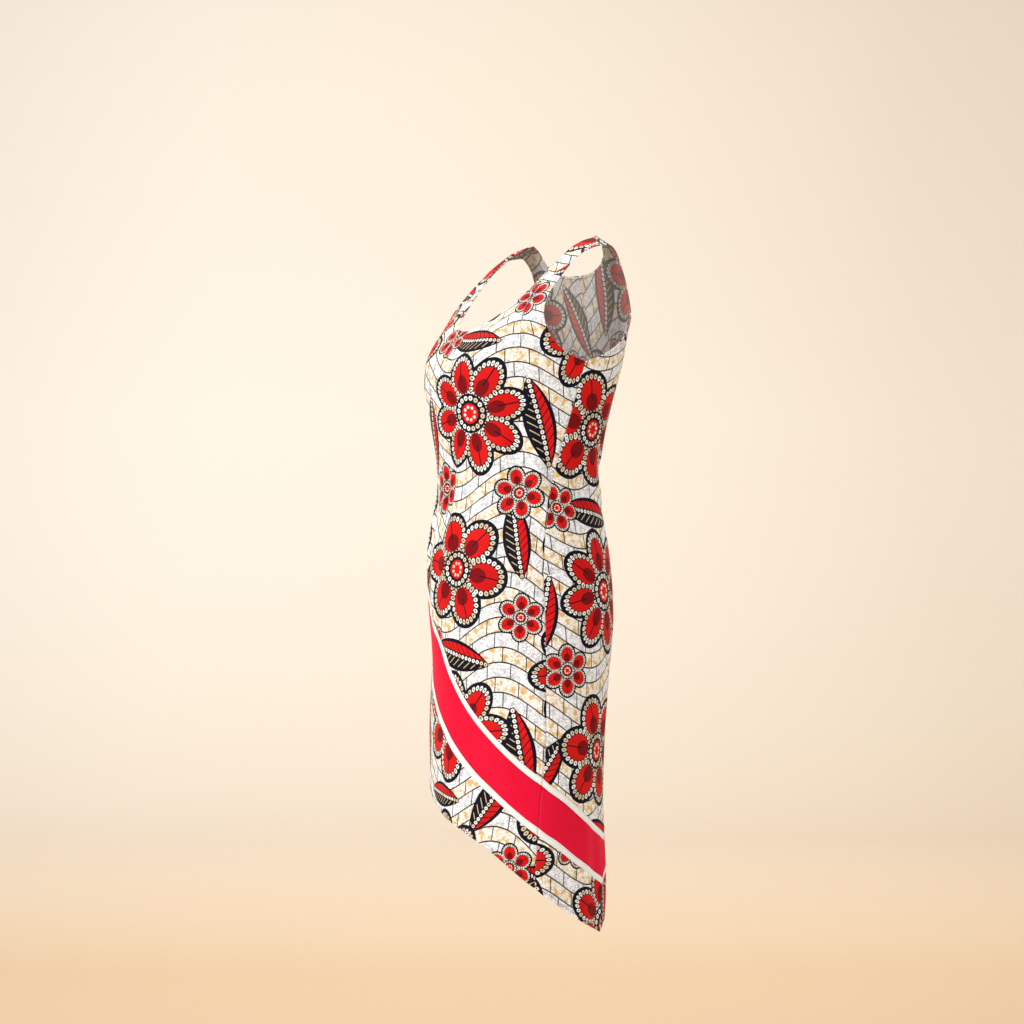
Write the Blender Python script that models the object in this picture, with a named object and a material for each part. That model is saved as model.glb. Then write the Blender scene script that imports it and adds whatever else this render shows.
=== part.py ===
"""Sleeveless wax print shift dress in its worn shape, with a slanting band and a slanting hem."""

from math import copysign, cos, degrees, exp, hypot, pi, radians, sin, sqrt

import bmesh
import bpy
from mathutils import Matrix, Vector

CLOTH = 0.0015
SEAM_GAP = 0.0003
SLANT_SEAM_GAP = 0.0005

# Body of the dress
# Heights are depths below the shoulder seam. Widths are half widths.
# depth, half_width, front, back, forward, fullness, turn
SECTIONS = [
    (0.000, 0.225, 0.000, 0.000, 0.000, 0.16, 12.6),
    (0.020, 0.228, 0.041, 0.027, 0.009, 0.16, 12.6),
    (0.050, 0.220, 0.065, 0.042, 0.013, 0.15, 12.6),
    (0.100, 0.188, 0.094, 0.073, 0.029, 0.15, 12.5),
    (0.150, 0.170, 0.115, 0.099, 0.046, 0.14, 10.0),
    (0.210, 0.153, 0.131, 0.108, 0.050, 0.11, 7.0),
    (0.250, 0.150, 0.138, 0.110, 0.055, 0.06, 5.0),
    (0.290, 0.148, 0.139, 0.109, 0.061, 0.05, 3.0),
    (0.330, 0.147, 0.132, 0.110, 0.066, 0.04, 0.0),
    (0.372, 0.148, 0.125, 0.112, 0.070, 0.03, -3.0),
    (0.496, 0.164, 0.148, 0.130, 0.066, 0.03, -11.0),
    (0.589, 0.171, 0.152, 0.130, 0.061, 0.03, -12.0),
    (0.680, 0.174, 0.150, 0.121, 0.061, 0.03, -12.0),
    (0.775, 0.174, 0.147, 0.114, 0.062, 0.03, -12.0),
    (0.851, 0.172, 0.145, 0.117, 0.066, 0.03, -13.0),
    (0.969, 0.170, 0.143, 0.125, 0.072, 0.03, -14.0),
    (1.080, 0.169, 0.142, 0.124, 0.072, 0.03, -14.0),
]

# Cut edges
NECK_HALF_WIDTH = 0.085
NECK_DEPTH = {1: 0.147, -1: 0.052}
NECK_ROUNDNESS = 2.5
SHOULDER_SLOPE = 0.49
SLOPE_FADE = 0.048
UNDERARM = 0.196

# Angle of the armhole edge from the middle of the front or back
# depth, angle
ARMHOLE = [
    (0.000, 28.2),
    (0.044, 28.8),
    (0.065, 31.2),
    (0.088, 34.0),
    (0.108, 38.2),
    (0.124, 43.5),
    (0.145, 52.0),
    (0.165, 61.0),
    (0.176, 67.0),
    (0.189, 79.0),
    (0.196, 90.0),
]

# Slanting edges
# round is the angle round the dress: 0 front, 90 left side, 180 and -180 centre back.
# round, band_top, band_bottom, hem
EDGES = [
    (-180, 0.906, 0.980, 1.050),
    (-150, 0.792, 0.884, 1.002),
    (-120, 0.606, 0.706, 0.908),
    (-90, 0.440, 0.520, 0.795),
    (-45, 0.462, 0.563, 0.803),
    (-20, 0.506, 0.622, 0.826),
    (0, 0.549, 0.678, 0.846),
    (20, 0.610, 0.742, 0.866),
    (45, 0.705, 0.804, 0.891),
    (67, 0.766, 0.850, 0.926),
    (90, 0.811, 0.894, 0.971),
    (112, 0.836, 0.916, 0.994),
    (136, 0.865, 0.942, 1.018),
    (158, 0.888, 0.961, 1.035),
    (180, 0.906, 0.980, 1.050),
]
WHITE_SHARE = 0.13

# Bust cups
BUST_OUT = 0.076
BUST_DEPTH = 0.206
BUST_SPREAD = 0.046
BUST_FALL = 0.062
BUST_FULLNESS = 0.031
BUST_DIP = 0.10

# The centre back seam leans towards the left side on its way to the hem.
SEAM_LEAN = 34.0
LEAN_START = 0.600
LEAN_END = 1.060

# Largest folds, as soft troughs (below zero) and ridges
# round, middle, half_angle, half_height, size
FOLDS = [
    (64, 0.400, 9, 0.110, -0.006),
    (76, 0.420, 7, 0.120, 0.004),
    (-60, 0.410, 9, 0.110, -0.005),
    (-75, 0.400, 8, 0.110, 0.004),
    (12, 0.430, 12, 0.090, -0.004),
    (120, 0.370, 11, 0.080, -0.005),
    (-124, 0.380, 10, 0.080, -0.005),
    (-8, 0.640, 16, 0.050, -0.006),
    (40, 0.930, 12, 0.120, 0.004),
    (112, 0.980, 12, 0.130, -0.005),
    (150, 1.000, 12, 0.120, 0.004),
    (-110, 0.880, 14, 0.130, -0.005),
    (-150, 0.980, 12, 0.130, 0.004),
]

# The columns spread out evenly over this depth below the underarm.
COLUMN_EASE = 0.20

# Steps for slopes and searches
STEP_ANGLE = 0.05
STEP_ROOT = 0.0002
SMALLEST_ROOT = 0.0008
SEARCH_STEPS = 40
SETTLE_STEPS = 12
FIRST_GUESS = 0.7
SIDE_SEAM_ANGLE = 89.9

# Mesh steps
NECK_COLUMNS = 9
STRAP_COLUMNS = 4
UPPER_ROWS = 13
LOWER_ROWS = 24
BACK_LOWER_ROWS = 26
HEM_ROWS = 6

PRINT = ((0.62, 0.16, 0.12, 1.0), 0.72)
RED = ((0.78, 0.01, 0.04, 1.0), 0.70)
WHITE = ((0.86, 0.86, 0.84, 1.0), 0.72)


def read_table(table, column, key, spread=lambda value: value):
    """A smooth value between the rows of a table with named columns."""
    xs = [spread(row[0]) for row in table]
    ys = [row[column] for row in table]
    at = min(max(spread(key), xs[0]), xs[-1])
    i = 0
    while i < len(xs) - 2 and at > xs[i + 1]:
        i += 1
    slopes = [(ys[k + 1] - ys[k]) / (xs[k + 1] - xs[k]) for k in range(len(xs) - 1)]

    def tangent(k):
        if k == 0:
            return slopes[0]
        if k == len(xs) - 1:
            return slopes[-1]
        before = xs[k] - xs[k - 1]
        after = xs[k + 1] - xs[k]
        return (slopes[k - 1] * after + slopes[k] * before) / (before + after)

    width = xs[i + 1] - xs[i]
    t = (at - xs[i]) / width
    return (
        ys[i] * (2 * t**3 - 3 * t**2 + 1)
        + tangent(i) * width * (t**3 - 2 * t**2 + t)
        + ys[i + 1] * (3 * t**2 - 2 * t**3)
        + tangent(i + 1) * width * (t**3 - t**2)
    )


def section(column, depth):
    return read_table(SECTIONS, column, depth, sqrt)


def around(face, angle):
    """The angle round the whole dress for an angle from the middle of its front or back."""
    if face > 0:
        return angle
    return 180 - angle if angle >= 0 else -180 - angle


def fold(face, angle, depth):
    place = around(face, angle)
    total = 0.0
    for middle_angle, middle, half_angle, half_height, size in FOLDS:
        turn = (place - middle_angle + 180) % 360 - 180
        total += size * exp(-((turn / half_angle) ** 2) - ((depth - middle) / half_height) ** 2)
    return total


def half_width_at(angle, depth):
    t = radians(angle)
    return section(1, depth) * sin(t) * (1 + section(5, depth) * sin(2 * t) ** 2)


def bust(out, depth):
    """How far the front stands out at the bust, with a slight dip between the cups."""
    beyond = max(0.0, abs(out) - BUST_OUT) / BUST_SPREAD
    between = max(0.0, 1 - (out / BUST_OUT) ** 2)
    fall = (depth - BUST_DEPTH) / BUST_FALL
    return BUST_FULLNESS * (1 - BUST_DIP * between * between) * exp(-(beyond**2) - fall**2)


def lean(face, angle, depth):
    """The angle on the body for an angle on a panel, which leans at the centre back."""
    if face > 0:
        return angle
    share = min(1.0, max(0.0, (depth - LEAN_START) / (LEAN_END - LEAN_START)))
    return angle + SEAM_LEAN * share * share * (3 - 2 * share) * (1 - abs(angle) / 90)


def cloth_point(face, angle, root):
    """A point of the outer surface. root is the square root of the depth below the shoulder."""
    depth = root * root
    angle = lean(face, angle, depth)
    t = radians(angle)
    full = 1 + section(5, depth) * sin(2 * t) ** 2
    out = section(1, depth) * sin(t) * full
    reach = section(2 if face > 0 else 3, depth) * cos(t) * full
    if face > 0:
        reach += bust(out, depth) * sqrt(max(0.0, cos(t)))
    moved = 1 + fold(face, angle, depth) / hypot(out, reach)
    out *= moved
    reach *= moved
    slope = SHOULDER_SLOPE * max(0.0, abs(out) - NECK_HALF_WIDTH) * exp(-depth / SLOPE_FADE)
    point = Vector((out, -face * reach, -depth - slope))
    point.rotate(Matrix.Rotation(radians(section(6, depth)), 3, "Z"))
    point.y -= section(4, depth)
    return point


def cloth_normal(face, angle, root):
    left = cloth_point(face, min(angle + STEP_ANGLE, 90), root)
    right = cloth_point(face, max(angle - STEP_ANGLE, -90), root)
    above = cloth_point(face, angle, max(root - STEP_ROOT, 0.0))
    below = cloth_point(face, angle, root + STEP_ROOT)
    return ((below - above).cross(left - right) * face).normalized()


def arm_angle(depth):
    """The angle at which a panel ends: the armhole above the underarm, the side seam below."""
    if depth >= UNDERARM:
        return 90.0
    return min(90.0, read_table(ARMHOLE, 1, depth))


def top_depth(face, share):
    """The depth at which a column of the panel meets the neck edge or the shoulder seam."""
    low = 0.0
    high = NECK_DEPTH[face]

    def inside_neck(depth):
        half = abs(half_width_at(share * arm_angle(depth), depth))
        across = (half / NECK_HALF_WIDTH) ** NECK_ROUNDNESS
        return across + (depth / NECK_DEPTH[face]) ** NECK_ROUNDNESS < 1

    if not inside_neck(low):
        return low
    for _ in range(SEARCH_STEPS):
        middle = (low + high) / 2
        if inside_neck(middle):
            low = middle
        else:
            high = middle
    return high


def strap_corner_share():
    low = 0.0
    high = 1.0
    for _ in range(SEARCH_STEPS):
        middle = (low + high) / 2
        if half_width_at(middle * arm_angle(0.0), 0.0) < NECK_HALF_WIDTH:
            low = middle
        else:
            high = middle
    return high


CORNER = strap_corner_share()


def column_shares():
    """Shares of the way from the middle to the armhole, closer together by the strap."""
    neck = [CORNER * sin(pi / 2 * i / NECK_COLUMNS) for i in range(NECK_COLUMNS + 1)]
    strap = [CORNER + (1 - CORNER) * i / STRAP_COLUMNS for i in range(1, STRAP_COLUMNS + 1)]
    return neck + strap


SHARES = column_shares()


def column_angle(index, depth):
    """The angle of a column, which spreads out evenly below the underarm."""
    side = -1 if index < 0 else 1
    share = SHARES[abs(index)]
    even = abs(index) / (len(SHARES) - 1)
    ease = min(1.0, max(0.0, (depth - UNDERARM) / COLUMN_EASE))
    ease = ease * ease * (3 - 2 * ease)
    return side * arm_angle(depth) * (share + (even - share) * ease)


def edge_depth(face, angle, strip):
    """Depth of a slanting edge: 0 band top, 1 and 2 the red strip's edges, 3 band bottom, 4 hem."""
    place = around(face, angle)
    top = read_table(EDGES, 1, place)
    bottom = read_table(EDGES, 2, place)
    white = WHITE_SHARE * (bottom - top)
    return (top, top + white, bottom - white, bottom, read_table(EDGES, 3, place))[strip]


def settle(face, index, strip):
    """The depth where a column reaches a slanting edge."""
    depth = FIRST_GUESS
    for _ in range(SETTLE_STEPS):
        depth = edge_depth(face, column_angle(index, depth), strip)
    return depth


def panel_root(face, index, row, lower_rows):
    if row <= UPPER_ROWS:
        start = max(sqrt(top_depth(face, SHARES[abs(index)])), SMALLEST_ROOT)
        return start + (sqrt(UNDERARM) - start) * sin(pi / 2 * row / UPPER_ROWS)
    end = settle(face, index, 0) - SLANT_SEAM_GAP / 2
    share = (row - UPPER_ROWS) / lower_rows
    return sqrt(UNDERARM + (end - UNDERARM) * share)


def strip_root(face, index, row, rows, strip):
    start = settle(face, index, strip) + SLANT_SEAM_GAP / 2
    end = settle(face, index, strip + 1)
    if strip < 3:
        end -= SLANT_SEAM_GAP / 2
    return sqrt(start + (end - start) * row / rows)


def clear_of_seams(face, angle, root, middle, side):
    """Moves a column at a side or centre back seam half the seam gap into its own panel."""
    depth = root * root
    if middle and face < 0:
        return angle + side * degrees(SEAM_GAP / 2 / section(1, depth))
    if abs(angle) > SIDE_SEAM_ANGLE:
        reach = section(2 if face > 0 else 3, depth)
        return angle - copysign(degrees(SEAM_GAP / 2 / reach), angle)
    return angle


def make_material(name, look):
    material = bpy.data.materials.new(name)
    material.use_nodes = True
    shader = material.node_tree.nodes["Principled BSDF"]
    shader.inputs["Base Color"].default_value = look[0]
    shader.inputs["Roughness"].default_value = look[1]
    shader.inputs["Metallic"].default_value = 0.0
    return material


def make_sheet(name, face, first, last, rows, root_at, look):
    """A closed cloth wall over the columns from first to last."""
    columns = last - first
    mesh = bmesh.new()
    bmesh.ops.create_grid(mesh, x_segments=columns, y_segments=rows, size=0.5)
    grown = bmesh.ops.extrude_face_region(mesh, geom=mesh.faces[:])
    for item in grown["geom"]:
        if isinstance(item, bmesh.types.BMVert):
            item.co.z = 1.0
    side = 1 if last > 0 else -1
    for vert in mesh.verts:
        index = first + round((vert.co.x + 0.5) * columns)
        row = round((vert.co.y + 0.5) * rows)
        root = root_at(index, row)
        angle = column_angle(index, root * root)
        angle = clear_of_seams(face, angle, root, index == 0, side)
        depth_in = CLOTH * vert.co.z
        vert.co = cloth_point(face, angle, root) - cloth_normal(face, angle, root) * depth_in
    bmesh.ops.recalc_face_normals(mesh, faces=mesh.faces[:])
    data = bpy.data.meshes.new(name)
    mesh.to_mesh(data)
    mesh.free()
    data.shade_smooth()
    data.materials.append(make_material(name, look))
    piece = bpy.data.objects.new(name, data)
    bpy.context.scene.collection.objects.link(piece)
    return piece


def make_part(prefix, face, first, last, lower_rows):
    """One panel of the dress with the band and hem panel below it."""
    make_sheet(
        prefix + "_panel",
        face,
        first,
        last,
        UPPER_ROWS + lower_rows,
        lambda index, row: panel_root(face, index, row, lower_rows),
        PRINT,
    )
    # ending, strip, rows, look
    strips = [
        ("_band_white_upper", 0, 1, WHITE),
        ("_band_red", 1, 3, RED),
        ("_band_white_lower", 2, 1, WHITE),
        ("_hem_panel", 3, HEM_ROWS, PRINT),
    ]
    for ending, strip, rows, look in strips:
        make_sheet(
            prefix + ending,
            face,
            first,
            last,
            rows,
            lambda index, row, strip=strip, rows=rows: strip_root(face, index, row, rows, strip),
            look,
        )


for old in list(bpy.data.objects):
    bpy.data.objects.remove(old, do_unlink=True)

LAST = len(SHARES) - 1
make_part("front", 1, -LAST, LAST, LOWER_ROWS)
make_part("back_left", -1, 0, LAST, BACK_LOWER_ROWS)
make_part("back_right", -1, -LAST, 0, BACK_LOWER_ROWS)
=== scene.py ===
"""Cloth, print, seams and stage for the sleeveless wax print dress."""

from math import atan2, cos, exp, hypot, pi, radians, sin

import bmesh
import bpy
import numpy as np
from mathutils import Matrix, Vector, noise
from mathutils.bvhtree import BVHTree
from mathutils.kdtree import KDTree


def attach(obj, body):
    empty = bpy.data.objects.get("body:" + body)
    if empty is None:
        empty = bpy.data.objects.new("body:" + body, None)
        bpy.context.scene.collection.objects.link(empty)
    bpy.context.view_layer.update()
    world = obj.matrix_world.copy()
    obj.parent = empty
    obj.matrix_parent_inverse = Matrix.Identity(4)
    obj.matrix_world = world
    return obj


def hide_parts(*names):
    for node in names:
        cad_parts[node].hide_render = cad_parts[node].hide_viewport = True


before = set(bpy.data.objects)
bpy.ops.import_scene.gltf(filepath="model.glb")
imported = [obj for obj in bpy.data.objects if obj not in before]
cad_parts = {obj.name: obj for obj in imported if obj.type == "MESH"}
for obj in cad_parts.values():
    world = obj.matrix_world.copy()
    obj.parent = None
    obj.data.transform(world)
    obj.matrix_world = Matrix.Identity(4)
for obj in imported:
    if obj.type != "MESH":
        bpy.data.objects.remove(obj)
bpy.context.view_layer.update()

bl_info = {
    "name": "Wax Print Dress",
    "version": (1, 0, 0),
    "blender": (4, 5, 0),
    "location": "3D Viewport > Sidebar > Dress",
    "description": "Dresses the panels of a wax print shift dress in cloth and sets its stage",
    "category": "Object",
}

# Axis of the body of the dress, and the radius at which angles become lengths
AXIS_Y = -0.062
GIRTH_RADIUS = 0.158

# Pieces of the dress
PRINTED_PIECES = ("panel", "hem_panel")
PARTS = ("front", "back_left", "back_right")
SLOTS = {
    "panel": "wax_print",
    "hem_panel": "wax_print",
    "band_red": "red_band",
    "band_white_upper": "white_strip",
    "band_white_lower": "white_strip",
}

# A piece that fills less than this share of its flat box is a slanting strip
NARROW_SHARE = 0.34
NARROWEST_CUT = 0.010

# A wall face has the other side within this reach behind it, looked for from just under its skin
WALL_START = 0.0003
WALL_REACH = 0.0022
SHARP_RIM = radians(75)

# Corners of the solid's triangles closer than this are one, in metres
SAME_PLACE = 0.00002

# Share of its area that an outer side turns away from the dress's axis, at least
OUTWARD_SHARE = 0.8

# Holes in a skin with up to this many edges are closed
LARGEST_HOLE = 10

# A rim that turns to less than this angle is a cut corner
SHARP_CORNER = radians(140)

# Where the print lies on each flat piece, in metres
# piece: across, up
PRINT_PLACES = {
    "front_panel": (0.02, 0.09),
    "back_left_panel": (0.12, 0.27),
    "back_right_panel": (0.05, 0.33),
    "front_hem_panel": (0.21, 0.40),
    "back_left_hem_panel": (0.02, 0.17),
    "back_right_hem_panel": (0.37, 0.09),
}

# Creases, as soft troughs (below zero) and ridges
# angle, height, to_angle, to_height, half_width, size
CREASES = [
    (58, -0.270, 70, -0.420, 0.012, -0.0030),
    (70, -0.250, 80, -0.430, 0.010, 0.0024),
    (78, -0.300, 88, -0.470, 0.009, -0.0024),
    (48, -0.215, 66, -0.235, 0.012, -0.0026),
    (40, -0.330, 62, -0.370, 0.010, -0.0016),
    (-56, -0.270, -68, -0.410, 0.012, -0.0030),
    (-70, -0.250, -79, -0.430, 0.010, 0.0022),
    (-46, -0.215, -66, -0.240, 0.012, -0.0026),
    (-38, -0.340, -60, -0.375, 0.010, -0.0016),
    (8, -0.330, -6, -0.480, 0.014, -0.0032),
    (-4, -0.370, 2, -0.600, 0.011, 0.0026),
    (22, -0.350, 16, -0.520, 0.013, 0.0026),
    (16, -0.300, 10, -0.440, 0.010, -0.0028),
    (30, -0.420, 24, -0.580, 0.012, -0.0024),
    (38, -0.380, 43, -0.560, 0.012, 0.0020),
    (-24, -0.360, -20, -0.500, 0.013, 0.0024),
    (-14, -0.400, -12, -0.560, 0.010, -0.0022),
    (96, -0.300, 104, -0.430, 0.011, -0.0026),
    (116, -0.330, 150, -0.372, 0.012, -0.0030),
    (120, -0.372, 152, -0.410, 0.011, 0.0020),
    (-112, -0.335, -148, -0.376, 0.012, -0.0030),
    (-118, -0.378, -150, -0.415, 0.011, 0.0020),
    (60, -0.480, 84, -0.540, 0.012, -0.0018),
    (-4, -0.610, 26, -0.640, 0.018, -0.0022),
    (70, -0.600, 76, -0.760, 0.016, 0.0018),
    (100, -0.560, 106, -0.800, 0.018, -0.0022),
    (128, -0.620, 132, -0.880, 0.018, 0.0020),
    (-64, -0.520, -70, -0.760, 0.018, -0.0022),
    (-118, -0.600, -124, -0.900, 0.020, -0.0024),
    (24, -0.760, 22, -0.880, 0.020, 0.0022),
    (52, -0.800, 50, -0.920, 0.018, -0.0022),
    (112, -0.880, 114, -1.040, 0.016, -0.0030),
    (132, -0.880, 136, -1.060, 0.016, 0.0030),
    (150, -0.900, 152, -1.060, 0.014, -0.0024),
    (-30, -0.700, -34, -0.820, 0.020, 0.0020),
    (-140, -0.860, -146, -1.030, 0.018, 0.0026),
    (50, -0.110, 62, -0.175, 0.009, -0.0014),
    (-50, -0.110, -62, -0.175, 0.009, -0.0014),
]

# Creases fade out beyond this many half widths, and shrink to this share at their ends
CREASE_REACH = 3.2
CREASE_END = 0.35

# The straps are left unpressed: creases start at this height and are full this much lower
PRESS_TOP = -0.06
PRESS_FADE = 0.08

# Unevenness of the cloth: waves for each degree round, waves for each metre up, seed, share
RIPPLES = [
    (0.045, 9.0, 3.7, 1.0),
    (0.13, 24.0, 1.2, 0.4),
]

# Steps along an own edge and a neighbour's, and how near a neighbour makes a seam, in metres
OWN_STEP = 0.0006
NEIGHBOUR_STEP = 0.003
SEAM_REACH = 0.0028
FAR_FROM_EDGE = 0.1

# Size of the print's repeat, in metres
REPEAT = (0.41, 0.48)

# A flower or leaf is drawn with its radius or half length as this many units
FULL_SIZE = 100.0

# Flowers of the print in one repeat
# across, up, turn, radius, petals
FLOWERS = [
    (0.098, 0.107, 10, 0.096, 8),
    (0.303, 0.209, 5, 0.092, 8),
    (0.085, 0.351, 20, 0.090, 6),
    (0.299, 0.427, 0, 0.088, 6),
    (0.175, 0.468, 15, 0.041, 6),
    (0.197, 0.287, 0, 0.037, 6),
    (0.020, 0.235, 12, 0.037, 6),
    (0.010, 0.475, 0, 0.041, 6),
]

# Leaves of the print, tucked under the flowers
# across, up, turn, half_length
LEAVES = [
    (0.205, 0.090, 12, 0.070),
    (0.385, 0.075, -15, 0.068),
    (0.180, 0.400, 15, 0.062),
    (0.385, 0.325, -30, 0.062),
    (0.090, 0.225, 80, 0.066),
    (0.280, 0.320, 85, 0.052),
]
LEAF_HALF_WIDTH = 34.0

# Leaves, in units: coloured share, the veins' slant, spacing and half width, the rib's half width
LEAF_FLESH = 0.76
VEIN_SLANT = 0.9
VEIN_SPACING = 17.0
VEIN_HALF_WIDTH = 1.4
RIB_HALF_WIDTH = 7.0

# Rows of dots, in units: spacing, radius, radius of the hole
RIB_DOTS = (11.0, 4.4, 1.4)
PETAL_DOTS = (8.976, 3.5, 1.2)
HEART_DOTS = (9.425, 3.7, 1.2)
INNER_DOTS = (7.854, 2.6, 0.0)
# Petals, in units: their middle and half length along the flower, and half widths for eight and six
PETAL_MIDDLE = 58.0
PETAL_REACH = 36.0
PETAL_WIDTH_OF_EIGHT = 24.0
PETAL_WIDTH_OF_SIX = 31.0

# Petals as shares of that oval: dark backing, red middle, and the middle and start of the dots
BACKING_SIZE = 1.16
RED_SIZE = 0.70
DOTS_AT = 0.86
DOTS_START = 0.66
DOTS_SPREAD = 27.0
DOTS_ROUND = 30.0
TONGUE_MIDDLE = 0.30
TONGUE_SIZE = 0.40
PETAL_LINE_START = -0.2
PETAL_LINE_HALF_WIDTH = 1.0

# The flower's middle, in units: hub behind the petals, heart, its ring of dots, eye and its ring
HUB_RADIUS = 50.0
HEART_RADIUS = 31.0
HEART_RING = 24.0
EYE_RADIUS = 16.0
INNER_RING = 10.0
INNER_LIMIT = 14.0

# Wavy rows behind the flowers, in metres
ROW_HEIGHT = 0.022
TILE_LENGTH = 0.036
WAVE_LENGTH = 0.230
WAVE_HEIGHT = 0.026
ROW_SHIFT = 0.37
ROW_LINE = 0.00105
JOINT_LINE = 0.00075
LINE_SOFTNESS = 0.0004

# Fine cracks and patches of the ground, as scales of their noise
DRIFT_SCALE = 160.0
DRIFT_SIZE = 0.006
CRACK_SCALE = 190.0
BROKEN_SCALE = 70.0
PATCH_SCALE = 105.0
CLOUD_SCALE = 120.0

# Where those noises start and end: broken cracks, crack lines, gold patches, pale clouds
BROKEN_RANGE = (0.30, 0.52)
CRACK_RANGE = (0.16, 0.02)
PATCH_RANGE = (0.50, 0.62)
CLOUD_RANGE = (0.50, 0.66)
CLOUD_SHARE = 0.65
CRACK_SHARE = 0.70

# Moves that give the two grounds other patches
GOLD_MOVE = (7.0, 2.0, 0.0)
PALE_MOVE = (3.0, 1.0, 0.0)

# Second colours of the print
BRIGHT_RED = (0.80, 0.012, 0.008, 1.0)
GOLD_DOT = (0.66, 0.50, 0.27, 1.0)
TONGUE_RED = (0.20, 0.002, 0.004, 1.0)
PALE_CLOUD = (0.50, 0.50, 0.54, 1.0)
PALE_CRACK = (0.32, 0.32, 0.36, 1.0)
GOLD_ROW_PALE = (0.97, 0.94, 0.88, 1.0)
GOLD_CRACK = (0.58, 0.38, 0.15, 1.0)
PRINT_SHADE = (0.02, 0.015, 0.015, 1.0)
PRINT_THREAD = (0.30, 0.02, 0.02, 1.0)
# Colour the wrong side fades towards: partly bare cotton, partly painted shade
BARE_COTTON_AND_SHADE = (0.40, 0.37, 0.33, 1.0)

# Second colours of the band and the strips
BAND_SHADE = (0.66, 0.003, 0.020, 1.0)
BAND_THREAD = (0.45, 0.01, 0.02, 1.0)
STRIP_SHADE = (0.62, 0.60, 0.58, 1.0)
STRIP_STITCH = (0.45, 0.43, 0.42, 1.0)
STRIP_THREAD = (0.60, 0.58, 0.55, 1.0)

# Share of the dots that are gold, as the chance above which one is, and how gold it is
GOLD_CHANCE = 0.70
GOLD_SHARE = 0.75

# Widths of the turned edges, in metres
PANEL_TURNING = 0.007
BAND_TURNING = 0.004

# Sewing, in metres: stitch rows in from the turning, stitch spacing, half lengths and half widths
ROW_INSET = 0.0022
ROW_HALF_WIDTH = 0.00045
STITCH_SPACING = 0.0032
STITCH_HALF_LENGTH = 0.0011
PUCKER_REACH = 0.018
PUCKER_RATE = 900.0
STRIP_ROW_AT = 0.0018
STRIP_ROW_HALF_WIDTH = 0.00035
STRIP_STITCH_SPACING = 0.003
STRIP_STITCH_HALF_LENGTH = 0.001

# Threads of the weave in a metre
THREADS = 900.0

# Heights of the relief, as shares of the bump's distance
TURNING_HEIGHT = 0.35
TURNING_SOFTNESS = 0.0012
STITCH_HEIGHT = 0.30
STITCH_DENT = 0.16
PUCKER_HEIGHT = 0.16
WEAVE_HEIGHT = 0.035
CRUMPLE_HEIGHT = 0.9
CRUMPLE_SCALE = 26.0
BUMP_STRENGTH = 0.35
BUMP_DISTANCE = 0.0012

# Shine of the three cottons
PRINT_ROUGHNESS = 0.62
BAND_ROUGHNESS = 0.55
STRIP_ROUGHNESS = 0.60
SHEEN = 0.015
SHEEN_ROUGHNESS = 0.4
SPECULAR_LEVEL = 0.09

# How far the print fades towards a duller, darker cotton on the wrong side of the cloth: partly the
# weaker dye there, partly painted shade for the inside of the dress
WRONG_SIDE_FADING_AND_SHADE = 0.45

# The backdrop: a floor below the dress that curves up into a wall, in metres
FLOOR_HEIGHT = -1.50
FLOOR_HALF_SIZE = 7.0
FLOOR_BEHIND = 3.0
CURVE_RADIUS = 3.0
CURVE_STEPS = 24
WALL_HEIGHT = 6.0

# Where the backdrop's colours change: left to right into painted shade, near floor to pale floor,
# wall behind
SIDE_SHADE_RANGE = (-1.6, 1.6)
NEAR_FLOOR_RANGE = (1.0, -0.5)
WALL_RANGE = (1.8, 6.6)

# Lights, placed from the middle of the dress
# name, (away from the camera, right, up), aim away, size, power, colour
MIDDLE = (0.0, AXIS_Y, -0.5)
LIGHTS = [
    ("key", (-2.2, -2.4, 1.1), 0.0, (1.5, 2.2), 72.0, (1.0, 0.99, 0.97)),
    ("fill", (-2.6, 2.2, 0.3), 0.0, (1.8, 2.6), 16.0, (1.0, 0.97, 0.93)),
    ("top", (-0.4, 0.0, 2.2), 0.0, (2.0, 2.0), 16.0, (1.0, 0.98, 0.96)),
    ("backdrop", (1.2, 0.0, 2.6), 3.9, (5.0, 1.5), 210.0, (1.0, 0.97, 0.92)),
]
ROOM_COLOUR = (1.0, 0.97, 0.94, 1.0)
ROOM_STRENGTH = 0.52

# The camera: height in metres, lens and sensor in millimetres, and its shift
CAMERA_HEIGHT = -0.42
LENS = 79.38
SENSOR = 36.0
SHIFT = -0.0509

# Pieces of cloth, their rims and their flat sizes, filled in as they are cut
CLOTH = {}
BORDERS = {}
FLAT_SIZES = {}


class ClothSettings(bpy.types.PropertyGroup):
    """Sizes of the cloth."""

    thickness: bpy.props.FloatProperty(
        name="Cloth thickness", description="Thickness of the cotton", default=0.0009, unit="LENGTH"
    )
    smoothness: bpy.props.IntProperty(
        name="Smoothness", description="Times each panel's mesh is divided", default=2, min=1, max=3
    )
    crease_strength: bpy.props.FloatProperty(
        name="Crease strength", description="Scales the creases pressed into the cloth", default=1.3
    )
    ripple: bpy.props.FloatProperty(
        name="Ripple", description="Height of the cloth's small unevenness", default=0.0007,
        unit="LENGTH",
    )


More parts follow.
